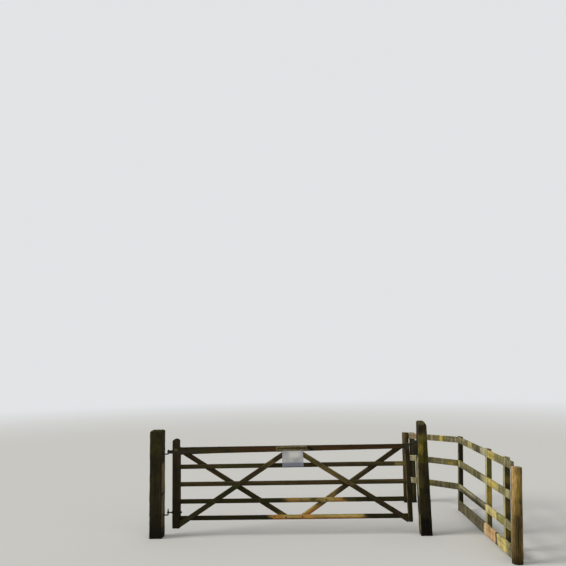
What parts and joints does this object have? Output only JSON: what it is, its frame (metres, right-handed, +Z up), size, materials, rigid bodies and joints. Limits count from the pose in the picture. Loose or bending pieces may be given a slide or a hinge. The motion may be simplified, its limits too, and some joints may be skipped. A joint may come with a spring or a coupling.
{
  "type": "timber gateway with walkers' pen",
  "caption": "Wide braced timber field gate hung on hooks between two big posts, with a post-and-rail walkers' pen beside its shutting post.",
  "frame": {"origin": "centre of the hanging post's foot, at ground level", "axes": "+X along the closed gate to the shutting post, +Y away from the approach side, +Z up"},
  "size_m": [5.2687, 3.4558, 1.665],
  "materials": {
    "gate_post_wood": "weathered oak with green algae and moss",
    "leaf_wood": "dark weathered timber with a green bloom",
    "pen_post_wood": "weathered softwood, mossy yellow green",
    "round_post_wood": "weathered round softwood, yellow brown",
    "pen_rail_wood": "sawn grey softwood with algae patches",
    "iron": "dark weathered galvanised iron with rust",
    "plaque_wood": "bare routed timber plaque",
    "sheet_plastic": "limp clouded plastic pocket, blank"
  },
  "bodies": {
    "gateway": {"hanging_post": "gate_post_wood", "shutting_post": "gate_post_wood", "top_hook": "iron", "bottom_hook": "iron", "latch_catch": "iron", "corner_post": "pen_post_wood", "side_middle_post": "pen_post_wood", "side_end_post": "pen_post_wood", "back_end_post": "pen_post_wood", "front_round_post": "round_post_wood", "back_round_post": "round_post_wood", "side_top_rail": "pen_rail_wood", "side_middle_rail": "pen_rail_wood", "side_lower_rail": "pen_rail_wood", "rear_kickboard": "pen_rail_wood", "front_kickboard": "pen_rail_wood", "back_top_rail": "pen_rail_wood", "back_middle_rail": "pen_rail_wood", "back_lower_rail": "pen_rail_wood"},
    "gate_leaf": {"heel_stile": "leaf_wood", "head_stile": "leaf_wood", "top_rail": "leaf_wood", "second_rail": "leaf_wood", "middle_rail": "leaf_wood", "fourth_rail": "leaf_wood", "bottom_rail": "leaf_wood", "front_brace_heel": "leaf_wood", "front_brace_head": "leaf_wood", "rear_brace_heel": "leaf_wood", "rear_brace_head": "leaf_wood", "top_hinge_band": "iron", "bottom_hinge_eye": "iron", "gate_latch": "iron", "plaque": "plaque_wood", "notice_sheet": "sheet_plastic"}
  },
  "joints": [
    {"name": "gate_swing", "type": "hinge", "parent": "gateway", "child": "gate_leaf", "pos_m": [0.1715, 0, 1.2], "axis": [0, 0, 1], "range_deg": [0, 95]}
  ]
}
